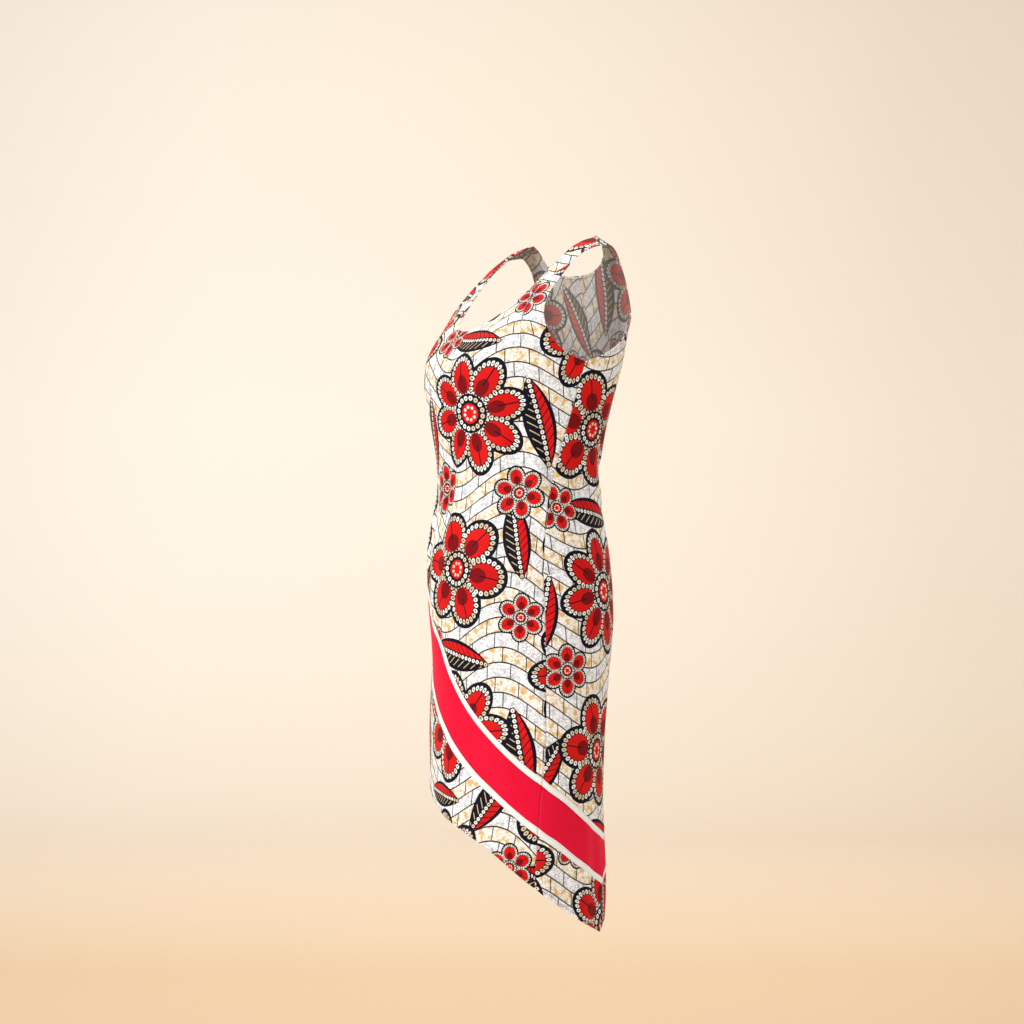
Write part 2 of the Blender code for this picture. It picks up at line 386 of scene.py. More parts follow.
class PrintSettings(bpy.types.PropertyGroup):
    """Colours of the print, the band and the strips."""

    red: bpy.props.FloatVectorProperty(
        name="Print red", description="Red of the petals and leaves", subtype="COLOR", size=4,
        default=(0.56, 0.003, 0.004, 1.0), min=0, max=1,
    )
    outline: bpy.props.FloatVectorProperty(
        name="Outline", description="Near black of the rims and lines", subtype="COLOR", size=4,
        default=(0.004, 0.004, 0.014, 1.0), min=0, max=1,
    )
    bead: bpy.props.FloatVectorProperty(
        name="Dots", description="White of the dots", subtype="COLOR", size=4,
        default=(0.92, 0.90, 0.84, 1.0), min=0, max=1,
    )
    pale: bpy.props.FloatVectorProperty(
        name="Pale ground", description="Grey white of the rows", subtype="COLOR", size=4,
        default=(0.96, 0.96, 0.97, 1.0), min=0, max=1,
    )
    gold: bpy.props.FloatVectorProperty(
        name="Gold ground", description="Gold of the rows", subtype="COLOR", size=4,
        default=(0.76, 0.50, 0.21, 1.0), min=0, max=1,
    )
    band: bpy.props.FloatVectorProperty(
        name="Band red", description="Red of the plain band", subtype="COLOR", size=4,
        default=(0.80, 0.004, 0.042, 1.0), min=0, max=1,
    )
    strip: bpy.props.FloatVectorProperty(
        name="Strip white", description="White of the strips beside the band", subtype="COLOR",
        size=4, default=(0.93, 0.93, 0.92, 1.0), min=0, max=1,
    )


class StageSettings(bpy.types.PropertyGroup):
    """Backdrop and camera."""

    backdrop: bpy.props.FloatVectorProperty(
        name="Backdrop", description="Pale colour of the backdrop", subtype="COLOR", size=4,
        default=(0.92, 0.87, 0.79, 1.0), min=0, max=1,
    )
    # Darker backdrop colour towards the right: painted shade of the light from the left
    far_side_shade: bpy.props.FloatVectorProperty(
        name="Backdrop, right", description="Colour of the backdrop towards the right",
        subtype="COLOR", size=4, default=(0.81, 0.73, 0.62, 1.0), min=0, max=1,
    )
    floor: bpy.props.FloatVectorProperty(
        name="Floor", description="Colour of the floor", subtype="COLOR", size=4,
        default=(0.52, 0.39, 0.26, 1.0), min=0, max=1,
    )
    azimuth: bpy.props.FloatProperty(
        name="Camera angle", description="Angle of the camera round the dress",
        default=radians(68.0), subtype="ANGLE",
    )
    distance: bpy.props.FloatProperty(
        name="Camera distance", description="Distance of the camera", default=3.5, unit="LENGTH"
    )


class Wire:
    """A socket whose arithmetic adds Math nodes."""

    def __init__(self, graph, socket):
        self.graph = graph
        self.socket = socket

    def math(self, operation, *others):
        node = self.graph.add("ShaderNodeMath", {"operation": operation}, (self, *others))
        return self.graph.wire(node, 0)

    def __add__(self, other):
        return self.math("ADD", other)

    def __radd__(self, other):
        return self.math("ADD", other)

    def __sub__(self, other):
        return self.math("SUBTRACT", other)

    def __rsub__(self, other):
        node = self.graph.add("ShaderNodeMath", {"operation": "SUBTRACT"}, (other, self))
        return self.graph.wire(node, 0)

    def __mul__(self, other):
        return self.math("MULTIPLY", other)

    def __rmul__(self, other):
        return self.math("MULTIPLY", other)

    def __truediv__(self, other):
        return self.math("DIVIDE", other)

    def __lt__(self, other):
        return self.math("LESS_THAN", other)

    def __gt__(self, other):
        return self.math("GREATER_THAN", other)

    def __abs__(self):
        return self.math("ABSOLUTE")

    def hypot(self, other):
        return (self * self + other * other).math("SQRT")

    def repeat(self, step):
        """The distance from the nearest whole number of steps, with its sign."""
        return self.math("WRAP", step * 0.5, step * -0.5)

    def cell(self, step):
        """The number of the nearest whole step."""
        return (self / step).math("ROUND")

    def soft_below(self, limit, width):
        """One well below the limit, nought well above it, with a narrow soft edge."""
        return self.graph.ramp(self, limit + width / 2, limit - width / 2)


class Graph:
    """The node graph of one material."""

    def __init__(self, name):
        self.material = bpy.data.materials.new(name)
        self.material.use_nodes = True
        self.tree = self.material.node_tree
        self.shader = self.tree.nodes["Principled BSDF"]

    def wire(self, node, output=0):
        return Wire(self, node.outputs[output])

    def add(self, kind, settings=None, values=()):
        """A node with its settings, then its sockets' values or links, by place or by name."""
        node = self.tree.nodes.new(kind)
        for key, value in (settings or {}).items():
            setattr(node, key, value)
        pairs = values.items() if isinstance(values, dict) else enumerate(values)
        for key, value in pairs:
            if isinstance(value, Wire):
                self.tree.links.new(value.socket, node.inputs[key])
            else:
                node.inputs[key].default_value = value
        return node

    def ramp(self, value, low, high):
        """Nought at low, one at high."""
        node = self.add(
            "ShaderNodeMapRange",
            {"clamp": True, "interpolation_type": "LINEAR"},
            {"Value": value, "From Min": low, "From Max": high, "To Min": 0.0, "To Max": 1.0},
        )
        return self.wire(node, 0)

    def vector(self, operation, *values):
        node = self.add("ShaderNodeVectorMath", {"operation": operation}, values)
        return self.wire(node, "Vector")

    def scaled(self, vector, factor):
        node = self.add(
            "ShaderNodeVectorMath", {"operation": "SCALE"}, {"Vector": vector, "Scale": factor}
        )
        return self.wire(node, "Vector")

    def parts(self, vector):
        node = self.add("ShaderNodeSeparateXYZ", None, (vector,))
        return self.wire(node, 0), self.wire(node, 1), self.wire(node, 2)

    def join(self, x, y, z=0.0):
        return self.wire(self.add("ShaderNodeCombineXYZ", None, (x, y, z)))

    def mix(self, factor, first, second):
        """A colour mix: first at nought, second at one."""
        node = self.add(
            "ShaderNodeMix",
            {"data_type": "RGBA", "blend_type": "MIX"},
            {0: factor, 6: first, 7: second},
        )
        return self.wire(node, 2)

    def noise(self, vector, scale, detail=2.0):
        node = self.add(
            "ShaderNodeTexNoise",
            {"noise_dimensions": "2D"},
            {"Vector": vector, "Scale": scale, "Detail": detail},
        )
        return self.wire(node, 0)

    def cracks(self, vector, scale):
        node = self.add(
            "ShaderNodeTexVoronoi",
            {"voronoi_dimensions": "2D", "feature": "DISTANCE_TO_EDGE"},
            {"Vector": vector, "Scale": scale, "Randomness": 1.0},
        )
        return self.wire(node, "Distance")

    def drift(self, vector, scale):
        """A coloured noise that pushes places about."""
        node = self.add(
            "ShaderNodeTexNoise", {"noise_dimensions": "2D"}, {"Vector": vector, "Scale": scale}
        )
        return self.wire(node, 1)

    def chance(self, vector):
        node = self.add("ShaderNodeTexWhiteNoise", {"noise_dimensions": "3D"}, {"Vector": vector})
        return self.wire(node, 0)

    def along(self, place, direction):
        """How far a place lies along a direction."""
        node = self.add("ShaderNodeVectorMath", {"operation": "DOT_PRODUCT"}, (place, direction))
        return self.wire(node, "Value")

    def attribute(self, name):
        return self.wire(self.add("ShaderNodeAttribute", {"attribute_name": name}), "Fac")

    def flat(self):
        """The place on the flat piece, in metres."""
        return self.wire(self.add("ShaderNodeUVMap", {"uv_map": "Flat"}))

    def feed(self, name, value):
        if isinstance(value, Wire):
            self.tree.links.new(value.socket, self.shader.inputs[name])
        else:
            self.shader.inputs[name].default_value = value


def weave_height(g, flat, threads):
    """Over and under of a plain weave."""
    across, up, _ = g.parts(flat)
    return (across * (threads * 2 * pi)).math("SINE") * (up * (threads * 2 * pi)).math("SINE")


def from_motif(g, flat, across, up):
    """The place on the cloth as seen from the nearest repeat of a motif."""
    width, height = REPEAT
    place = g.vector("SUBTRACT", flat, (across, up, 0.0))
    return g.vector("WRAP", place, (width / 2, height / 2, 1.0), (-width / 2, -height / 2, -1.0))


def flower_places(g, flat):
    """Distance from the heart, angle and code of the flower that covers a point, or noughts."""
    total = None
    for number, (across, up, turn, radius, petals) in enumerate(FLOWERS):
        x, y, _ = g.parts(from_motif(g, flat, across, up))
        away = x.hypot(y) * (FULL_SIZE / radius)
        angle = x.math("ARCTAN2", y) * (180 / pi) + turn
        entry = g.scaled(g.join(away, angle, petals + number * 10.0), away < FULL_SIZE)
        total = entry if total is None else g.vector("ADD", total, entry)
    return g.parts(total)


def leaf_places(g, flat):
    """Place across and along the leaf that covers a point, and the number of leaves there."""
    total = None
    for across, up, turn, half_length in LEAVES:
        turned = g.add(
            "ShaderNodeVectorRotate",
            {"rotation_type": "Z_AXIS"},
            {
                "Vector": from_motif(g, flat, across, up),
                "Center": (0.0, 0.0, 0.0),
                "Angle": radians(-turn),
            },
        )
        x, y, _ = g.parts(g.scaled(g.wire(turned), FULL_SIZE / half_length))
        mask = (abs(y) < FULL_SIZE) * (abs(x) < LEAF_HALF_WIDTH)
        entry = g.scaled(g.join(x, y, 1.0), mask)
        total = entry if total is None else g.vector("ADD", total, entry)
    return g.parts(total)


def dot_row(along, across, row):
    """A row of round dots, with holes if their radius is above nought: dots, holes and numbers."""
    spacing, size, hole = row
    away = along.repeat(spacing).hypot(across)
    dots = away.soft_below(size, 0.7)
    holes = away.soft_below(hole, 0.6) if hole > 0 else None
    return dots, holes, along.cell(spacing)


def red_cloth(g, settings, flat):
    return g.mix(g.noise(flat, 9.0), settings.red[:], BRIGHT_RED)


def lay_beads(g, settings, colour, row, inside, code):
    """Lays a row of white and gold dots with dark hearts over a colour."""
    dots, holes, number = row
    shade = g.chance(g.join(number, code, 1.0))
    paint = g.mix((shade > GOLD_CHANCE) * GOLD_SHARE, settings.bead[:], GOLD_DOT)
    colour = g.mix(dots * inside, colour, paint)
    if holes is None:
        return colour
    return g.mix(holes * inside, colour, settings.outline[:])


def lay_leaves(g, settings, colour, flat):
    """Pointed leaves, half red and half dark, with a dotted rib and slanting veins."""
    x, y, covered = leaf_places(g, flat)
    swell = 1.0 - (y / FULL_SIZE) * (y / FULL_SIZE)
    reach = abs(x) / (swell * LEAF_HALF_WIDTH)
    inside = (reach < 1.0) * (covered > 0.5)
    veins = abs((y - abs(x) * VEIN_SLANT).repeat(VEIN_SPACING)) < VEIN_HALF_WIDTH
    colour = g.mix(inside, colour, settings.outline[:])
    right_half = inside * (reach < LEAF_FLESH) * (x > 0.0)
    colour = g.mix(right_half, colour, red_cloth(g, settings, flat))
    colour = g.mix(right_half * veins, colour, settings.outline[:])
    left_half = inside * (reach < LEAF_FLESH) * (x < 0.0)
    colour = g.mix(left_half * veins, colour, GOLD_DOT)
    rib = inside * (abs(x) < RIB_HALF_WIDTH)
    colour = g.mix(rib, colour, settings.outline[:])
    return lay_beads(g, settings, colour, dot_row(y, x, RIB_DOTS), rib, covered)


def lay_flowers(g, settings, colour, flat):
    """Round flowers: petals edged with dots, round a dotted heart."""
    outline = settings.outline[:]
    away, angle, code = flower_places(g, flat)
    covered = code > 0.5
    six = code.math("MODULO", 10.0) < 7.0
    sector = 45.0 + six * 15.0
    half_width = PETAL_WIDTH_OF_EIGHT + six * (PETAL_WIDTH_OF_SIX - PETAL_WIDTH_OF_EIGHT)
    local = (angle - (angle / sector).math("ROUND") * sector) * (pi / 180)
    across = local.math("SINE") * away
    beyond = (local.math("COSINE") * away - PETAL_MIDDLE) / PETAL_REACH
    sideways = across / half_width
    oval = sideways.hypot(beyond)
    backing = covered * (oval < BACKING_SIZE).math("MAXIMUM", away < HUB_RADIUS)
    colour = g.mix(backing, colour, outline)
    petal = backing * (oval < RED_SIZE)
    colour = g.mix(petal, colour, red_cloth(g, settings, flat))
    tongue = petal * (sideways.hypot(beyond + TONGUE_MIDDLE) < TONGUE_SIZE)
    colour = g.mix(tongue, colour, TONGUE_RED)
    line = petal * (abs(across) < PETAL_LINE_HALF_WIDTH) * (beyond > PETAL_LINE_START)
    colour = g.mix(line, colour, outline)
    rim = sideways.math("ARCTAN2", beyond) * DOTS_ROUND
    row = dot_row(rim, (oval - DOTS_AT) * DOTS_SPREAD, PETAL_DOTS)
    colour = lay_beads(g, settings, colour, row, backing * (oval > DOTS_START), code)

    heart = covered * (away < HEART_RADIUS)
    turn = angle * (pi / 180)
    colour = g.mix(heart, colour, outline)
    row = dot_row(turn * HEART_RING, away - HEART_RING, HEART_DOTS)
    colour = lay_beads(g, settings, colour, row, heart, code)
    colour = g.mix(covered * (away < EYE_RADIUS), colour, red_cloth(g, settings, flat))
    row = dot_row(turn * INNER_RING, away - INNER_RING, INNER_DOTS)
    return lay_beads(g, settings, colour, row, covered * (away < INNER_LIMIT), code)


def ground_colour(g, settings, flat):
    """Wavy rows of grey and gold tiles with thin lines and fine cracks."""
    across, up, _ = g.parts(flat)
    climb = up + (across * (2 * pi / WAVE_LENGTH)).math("SINE") * WAVE_HEIGHT
    row = (climb / ROW_HEIGHT).math("FLOOR")
    golden = row.math("FLOORED_MODULO", 2.0) > 0.5
    bent = g.vector("ADD", flat, g.scaled(g.drift(flat, DRIFT_SCALE), DRIFT_SIZE))
    veins = g.cracks(bent, CRACK_SCALE)
    broken = g.ramp(g.noise(flat, BROKEN_SCALE, 3.0), *BROKEN_RANGE)
    fine = g.ramp(veins, *CRACK_RANGE) * broken * CRACK_SHARE
    gold_place = g.vector("ADD", flat, GOLD_MOVE)
    patches = g.ramp(g.noise(gold_place, PATCH_SCALE, 4.0), *PATCH_RANGE)
    pale_place = g.vector("ADD", flat, PALE_MOVE)
    clouds = g.ramp(g.noise(pale_place, CLOUD_SCALE, 4.0), *CLOUD_RANGE)
    pale = g.mix(clouds * CLOUD_SHARE, settings.pale[:], PALE_CLOUD)
    pale = g.mix(fine, pale, PALE_CRACK)
    gold = g.mix(patches, GOLD_ROW_PALE, settings.gold[:])
    gold = g.mix(fine, gold, GOLD_CRACK)
    colour = g.mix(golden, pale, gold)
    row_lines = abs(climb.repeat(ROW_HEIGHT)).soft_below(ROW_LINE, LINE_SOFTNESS)
    shifted = across + row * (ROW_SHIFT * TILE_LENGTH)
    joints = abs(shifted.repeat(TILE_LENGTH)).soft_below(JOINT_LINE, LINE_SOFTNESS)
    return g.mix(row_lines.math("MAXIMUM", joints), colour, settings.outline[:])


def sewn_height(g, flat, reach):
    """Height of turned edges, stitch rows and puckers beside the seams."""
    edge = g.attribute("edge_distance")
    edge_run = g.attribute("edge_run")
    seam = g.attribute("seam_distance")
    seam_run = g.attribute("seam_run")
    turned = edge.soft_below(reach, TURNING_SOFTNESS) * TURNING_HEIGHT
    stitch_row = abs(edge - (reach - ROW_INSET)).soft_below(ROW_HALF_WIDTH, LINE_SOFTNESS)
    stitches = stitch_row * (abs(edge_run.repeat(STITCH_SPACING)) < STITCH_HALF_LENGTH)
    dimple = (seam_run * PUCKER_RATE).math("SINE") + g.noise(flat, 140.0) * 2.0
    pucker = dimple * seam.soft_below(0.0, PUCKER_REACH) * PUCKER_HEIGHT
    raised = turned + stitches * STITCH_HEIGHT - stitch_row * STITCH_DENT
    return raised + pucker, stitches


def cloth_finish(g, flat, colour, reach, thread, roughness):
    """The shared surface of cotton: weave, sewing and a soft sheen."""
    height, stitches = sewn_height(g, flat, reach)
    weave = weave_height(g, flat, THREADS)
    crumple = g.noise(flat, CRUMPLE_SCALE, 3.0) * CRUMPLE_HEIGHT
    relief = height + weave * WEAVE_HEIGHT + crumple
    bump = g.add(
        "ShaderNodeBump",
        None,
        {"Strength": BUMP_STRENGTH, "Distance": BUMP_DISTANCE, "Height": relief},
    )
    g.feed("Base Color", g.mix(stitches * 0.8, colour, thread))
    g.feed("Roughness", roughness)
    g.feed("Normal", g.wire(bump))
    g.feed("Sheen Weight", SHEEN)
    g.feed("Sheen Roughness", SHEEN_ROUGHNESS)
    g.feed("Specular IOR Level", SPECULAR_LEVEL)
    return g.material


def print_material(settings, wrong_side=False):
    """The printed cotton, whose dye comes through weaker on the wrong side, which is also darkened
    there as painted shade.
    """
    g = Graph("Wax print cotton, wrong side" if wrong_side else "Wax print cotton")
    flat = g.flat()
    colour = lay_leaves(g, settings, ground_colour(g, settings, flat), flat)
    colour = lay_flowers(g, settings, colour, flat)
    tone = g.ramp(g.noise(flat, 14.0), 0.3, 0.7)
    colour = g.mix(tone * 0.06, colour, PRINT_SHADE)
    if wrong_side:
        # Duller and darker on the wrong side: weaker dye, plus painted shade for the inside of the
        # dress
        colour = g.mix(WRONG_SIDE_FADING_AND_SHADE, colour, BARE_COTTON_AND_SHADE)
    return cloth_finish(g, flat, colour, PANEL_TURNING, PRINT_THREAD, PRINT_ROUGHNESS)


def band_material(settings):
    g = Graph("Plain red cotton")
    flat = g.flat()
    tone = g.noise(flat, 30.0, 3.0)
    colour = g.mix(tone * 0.5, settings.band[:], BAND_SHADE)
    return cloth_finish(g, flat, colour, BAND_TURNING, BAND_THREAD, BAND_ROUGHNESS)


def strip_material(settings):
    g = Graph("Plain white cotton")
    flat = g.flat()
    colour = g.mix(g.noise(flat, 60.0) * 0.25, settings.strip[:], STRIP_SHADE)
    seam = g.attribute("seam_distance")
    run = g.attribute("seam_run")
    row = abs(seam - STRIP_ROW_AT).soft_below(STRIP_ROW_HALF_WIDTH, 0.0003)
    stitches = row * (abs(run.repeat(STRIP_STITCH_SPACING)) < STRIP_STITCH_HALF_LENGTH)
    colour = g.mix(stitches * 0.35, colour, STRIP_STITCH)
    return cloth_finish(g, flat, colour, BAND_TURNING, STRIP_THREAD, STRIP_ROUGHNESS)


def wall_faces(mesh):
    """The faces with the other side of the wall close behind them, which leaves out the rims."""
    tree = BVHTree.FromBMesh(mesh)
    found = set()
    for face in mesh.faces:
        start = face.calc_center_median() - face.normal * WALL_START
        if tree.ray_cast(start, -face.normal, WALL_REACH)[0] is not None:
            found.add(face)
    return found


def regions(faces, sharp):
    """Groups of the given faces that meet at less than the sharp angle."""
    left = set(faces)
    groups = []
    while left:
        start = left.pop()
        group = [start]
        queue = [start]
        while queue:
            face = queue.pop()
            for edge in face.edges:
                if len(edge.link_faces) == 2 and edge.calc_face_angle(0) < sharp:
                    for other in edge.link_faces:
                        if other in left:
                            left.discard(other)
                            group.append(other)
                            queue.append(other)
        groups.append(group)
    return groups


def outwardness(face):
    """How far a face looks away from the dress's axis, times its area."""
    middle = face.calc_center_median()
    away = Vector((middle.x, middle.y - AXIS_Y, 0.0)).normalized()
    return face.normal.dot(away) * face.calc_area()


def keep_corners(mesh):
    """Holds the cut corners of a piece sharp when its mesh is divided."""
    hold = mesh.verts.layers.float.new("crease_vert")
    for vert in mesh.verts:
        rim = [edge for edge in vert.link_edges if edge.is_boundary]
        if len(rim) == 2:
            first, second = (edge.other_vert(vert).co - vert.co for edge in rim)
            if first.angle(second, pi) < SHARP_CORNER:
                vert[hold] = 1.0


def area_of(faces):
    return sum(face.calc_area() for face in faces)


def outer_skin(name):
    """The outer side of a panel's wall, mostly in four-sided faces, with small holes closed."""
    mesh = bmesh.new()
    mesh.from_mesh(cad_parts[name].data)
    bmesh.ops.remove_doubles(mesh, verts=mesh.verts[:], dist=SAME_PLACE)
    bmesh.ops.recalc_face_normals(mesh, faces=mesh.faces[:])
    bmesh.ops.join_triangles(
        mesh,
        faces=mesh.faces[:],
        angle_face_threshold=radians(20),
        angle_shape_threshold=radians(50),
    )
    groups = sorted(regions(wall_faces(mesh), SHARP_RIM), key=lambda group: -area_of(group))
    sides = sorted(groups[:2], key=lambda group: -sum(outwardness(f) for f in group))
    keep = set(sides[0])
    if sum(outwardness(f) for f in keep) < OUTWARD_SHARE * area_of(keep):
        raise RuntimeError("The outer side of " + name + " can't be told from the inner one")
    bmesh.ops.delete(mesh, geom=[f for f in mesh.faces if f not in keep], context="FACES")
    rims = [edge for edge in mesh.edges if edge.is_boundary]
    for face in bmesh.ops.holes_fill(mesh, edges=rims, sides=LARGEST_HOLE)["faces"]:
        if not all(edge.is_contiguous for edge in face.edges):
            face.normal_flip()
    keep_corners(mesh)
    return mesh


def flatten(piece):
    """Unwraps a piece into its flat cut, in metres, upright and centred."""
    bpy.ops.object.select_all(action="DESELECT")
    piece.select_set(True)
    bpy.context.view_layer.objects.active = piece
    piece.data.uv_layers.new(name="Flat")
    bpy.ops.object.mode_set(mode="EDIT")
    bpy.ops.mesh.select_all(action="SELECT")
    bpy.ops.uv.unwrap(method="MINIMUM_STRETCH", margin=0.0)
    bpy.ops.object.mode_set(mode="OBJECT")
    data = piece.data
    layer = data.uv_layers["Flat"]
    spots = np.empty(len(layer.data) * 2)
    layer.data.foreach_get("uv", spots)
    spots = spots.reshape(-1, 2)
    corners = np.empty(len(data.loops), int)
    data.loops.foreach_get("vertex_index", corners)
    places = np.empty(len(data.vertices) * 3)
    data.vertices.foreach_get("co", places)
    heights = places.reshape(-1, 3)[corners, 2]
    flat_area = 0.0
    true_area = 0.0
    for face in data.polygons:
        ring = spots[face.loop_start : face.loop_start + face.loop_total]
        after = np.roll(ring, -1, axis=0)
        flat_area += abs((ring[:, 0] * after[:, 1] - ring[:, 1] * after[:, 0]).sum()) / 2
        true_area += face.area
    spots = (spots - spots.mean(0)) * (true_area / flat_area) ** 0.5
    tilt = np.linalg.lstsq(spots, heights - heights.mean(), rcond=None)[0]
    turn = atan2(tilt[0], tilt[1])
    x, y = spots[:, 0], spots[:, 1]
    turned = np.stack([x * cos(turn) - y * sin(turn), x * sin(turn) + y * cos(turn)], 1)
    shift = PRINT_PLACES.get(piece.name.removeprefix("cloth_"), (0.0, 0.0))
    layer.data.foreach_set("uv", (turned + shift).ravel())
    return np.ptp(turned[:, 0]), np.ptp(turned[:, 1]), true_area


def crease_height(angle, height):
    """Height of all the creases at a place given by its angle round the dress and its height."""
    total = 0.0
    for first, top, last, low, half_width, size in CREASES:
        turn = (angle - (first + last) / 2 + 180) % 360 - 180 + (first + last) / 2
        dx = radians(last - first) * GIRTH_RADIUS
        dz = low - top
        x = radians(turn - first) * GIRTH_RADIUS
        z = height - top
        length = hypot(dx, dz)
        share = min(1.0, max(0.0, (x * dx + z * dz) / (length * length)))
        away = hypot(x - dx * share, z - dz * share)
        if away < CREASE_REACH * half_width:
            taper = CREASE_END + (1.0 - CREASE_END) * sin(pi * share)
            total += size * taper * exp(-((away / half_width) ** 2))
    return total


def soften(piece, settings):
    """Presses the creases and a slight unevenness into a piece, away from the straps."""
    for vert in piece.data.vertices:
        place = vert.co
        away = Vector((place.x, place.y - AXIS_Y, 0.0))
        angle = atan2(place.x, -(place.y - AXIS_Y)) * 180 / pi
        hold = min(1.0, max(0.0, (PRESS_TOP - place.z) / PRESS_FADE))
        ripple = 0.0
        for round_rate, up_rate, seed, share in RIPPLES:
            spot = Vector((angle * round_rate, place.z * up_rate, seed))
            ripple += noise.noise(spot) * settings.ripple * share
        move = crease_height(angle, place.z) * settings.crease_strength + ripple
        vert.co = place + away.normalized() * move * hold


def edge_chains(mesh):
    """The boundary of a mesh as runs of places in order."""
    left = {edge for edge in mesh.edges if len(edge.link_faces) == 1}
    chains = []
    while left:
        edge = min(left, key=lambda item: item.index)
        left.discard(edge)
        start, here = edge.verts
        chain = [start, here]
        while here != start:
            onward = [item for item in here.link_edges if item in left]
            if not onward:
                break
            left.discard(onward[0])
            here = onward[0].other_vert(here)
            chain.append(here)
        chains.append([vert.co.copy() for vert in chain])
    return chains


def walk(chain, step):
    """Places at even steps along a run, each with the length walked so far."""
    walked = 0.0
    for start, end in zip(chain, chain[1:]):
        length = (end - start).length
        count = max(1, round(length / step))
        for index in range(count):
            share = index / count
            yield start.lerp(end, share), walked + length * share
        walked += length


def tree_of(places):
    tree = KDTree(max(1, len(places)))
    for index, place in enumerate(places):
        tree.insert(place, index)
    tree.balance()
    return tree


def mark_edges(piece, borders):
    """Writes how far each point is from the nearest open edge and seam, and how far along."""
    own = [spot for chain in borders[piece.name] for spot in walk(chain, OWN_STEP)]
    others = [
        place
        for name, chains in borders.items()
        if name != piece.name
        for chain in chains
        for place, _ in walk(chain, NEIGHBOUR_STEP)
    ]
    neighbours = tree_of(others)
    sewn = [spot for spot in own if neighbours.find(spot[0])[2] < SEAM_REACH]
    open_edge = [spot for spot in own if neighbours.find(spot[0])[2] >= SEAM_REACH]
    count = len(piece.data.vertices)
    for title, spots in (("seam", sewn), ("edge", open_edge)):
        away = [FAR_FROM_EDGE] * count
        run = [0.0] * count
        if spots:
            tree = tree_of([place for place, _ in spots])
            for index, vert in enumerate(piece.data.vertices):
                _, found, distance = tree.find(vert.co)
                away[index] = distance
                run[index] = spots[found][1]
        for ending, values in (("_distance", away), ("_run", run)):
            layer = piece.data.attributes.new(title + ending, "FLOAT", "POINT")
            layer.data.foreach_set("value", values)


def divided(piece, levels):
    """Replaces a piece's mesh by a smoothly divided one."""
    modifier = piece.modifiers.new("Divide", "SUBSURF")
    modifier.levels = levels
    modifier.render_levels = levels
    modifier.boundary_smooth = "PRESERVE_CORNERS"
    finished = piece.evaluated_get(bpy.context.evaluated_depsgraph_get())
    data = bpy.data.meshes.new_from_object(finished)
    piece.modifiers.remove(modifier)
    old = piece.data
    piece.data = data
    bpy.data.meshes.remove(old)


def make_cloth(part, kind, settings):
    """One piece of cloth over the outer side of its panel."""
    node = part + "_" + kind
    skin = outer_skin(node)
    data = bpy.data.meshes.new("cloth_" + node)
    skin.to_mesh(data)
    skin.free()
    piece = bpy.data.objects.new("cloth_" + node, data)
    bpy.context.scene.collection.objects.link(piece)
    FLAT_SIZES[node] = flatten(piece)
    divided(piece, settings.smoothness)
    soften(piece, settings)
    shape = bmesh.new()
    shape.from_mesh(piece.data)
    BORDERS[piece.name] = edge_chains(shape)
    shape.free()
    piece.data.shade_smooth()
    return piece


def finish_cloth(piece, part, kind, materials, settings):
    """Edges marked, wall made and looks given; the flat sizes are worked out, but nothing uses
    them.
    """
    node = part + "_" + kind
    mark_edges(piece, BORDERS)
    piece.data.materials.clear()
    for material in materials:
        piece.data.materials.append(material)
    wall = piece.modifiers.new("Wall", "SOLIDIFY")
    wall.material_offset = len(materials) - 1
    wall.thickness = settings.thickness
    wall.offset = -1.0
    wall.use_even_offset = True
    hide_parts(node)
    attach(piece, "root")
    width, length, area = FLAT_SIZES[node]
    if area < NARROW_SHARE * width * length:
        length = hypot(width, length)
        width = max(NARROWEST_CUT, area / length)
    area = min(area, width * length)


def run_pieces(context, kinds, *materials):
    settings = context.scene.dress_cloth
    for part in PARTS:
        for kind in kinds:
            finish_cloth(CLOTH[part, kind], part, kind, materials, settings)


class DRESS_OT_cut(bpy.types.Operator):
    """Cuts every piece of cloth over its panel and presses in the creases"""

    bl_idname = "dress.cut"
    bl_label = "Cut the cloth"

    def execute(self, context):
        for part in PARTS:
            for kind in SLOTS:
                CLOTH[part, kind] = make_cloth(part, kind, context.scene.dress_cloth)
        return {"FINISHED"}


class DRESS_OT_print(bpy.types.Operator):
    """Sews and prints the panels and the hem panels"""

    bl_idname = "dress.print"
    bl_label = "Printed panels"

    def execute(self, context):
        settings = context.scene.dress_print
        right_side = print_material(settings)
        wrong_side = print_material(settings, wrong_side=True)
        run_pieces(context, PRINTED_PIECES, right_side, wrong_side)
        return {"FINISHED"}


class DRESS_OT_band(bpy.types.Operator):
    """Sews the plain red band"""

    bl_idname = "dress.band"
    bl_label = "Red band"

    def execute(self, context):
        run_pieces(context, ("band_red",), band_material(context.scene.dress_print))
        return {"FINISHED"}


class DRESS_OT_strips(bpy.types.Operator):
    """Sews the white strips beside the band"""

    bl_idname = "dress.strips"
    bl_label = "White strips"

    def execute(self, context):
        kinds = ("band_white_upper", "band_white_lower")
        run_pieces(context, kinds, strip_material(context.scene.dress_print))
        return {"FINISHED"}


def area_light(name, place, target, size, power, colour):
    lamp = bpy.data.lights.new(name, "AREA")
    lamp.shape = "RECTANGLE"
    lamp.size = size[0]
    lamp.size_y = size[1]
    lamp.energy = power
    lamp.color = colour
    holder = bpy.data.objects.new(name, lamp)
    holder.location = place
    holder.rotation_euler = (Vector(target) - Vector(place)).to_track_quat("-Z", "Y").to_euler()
    bpy.context.scene.collection.objects.link(holder)
    return holder


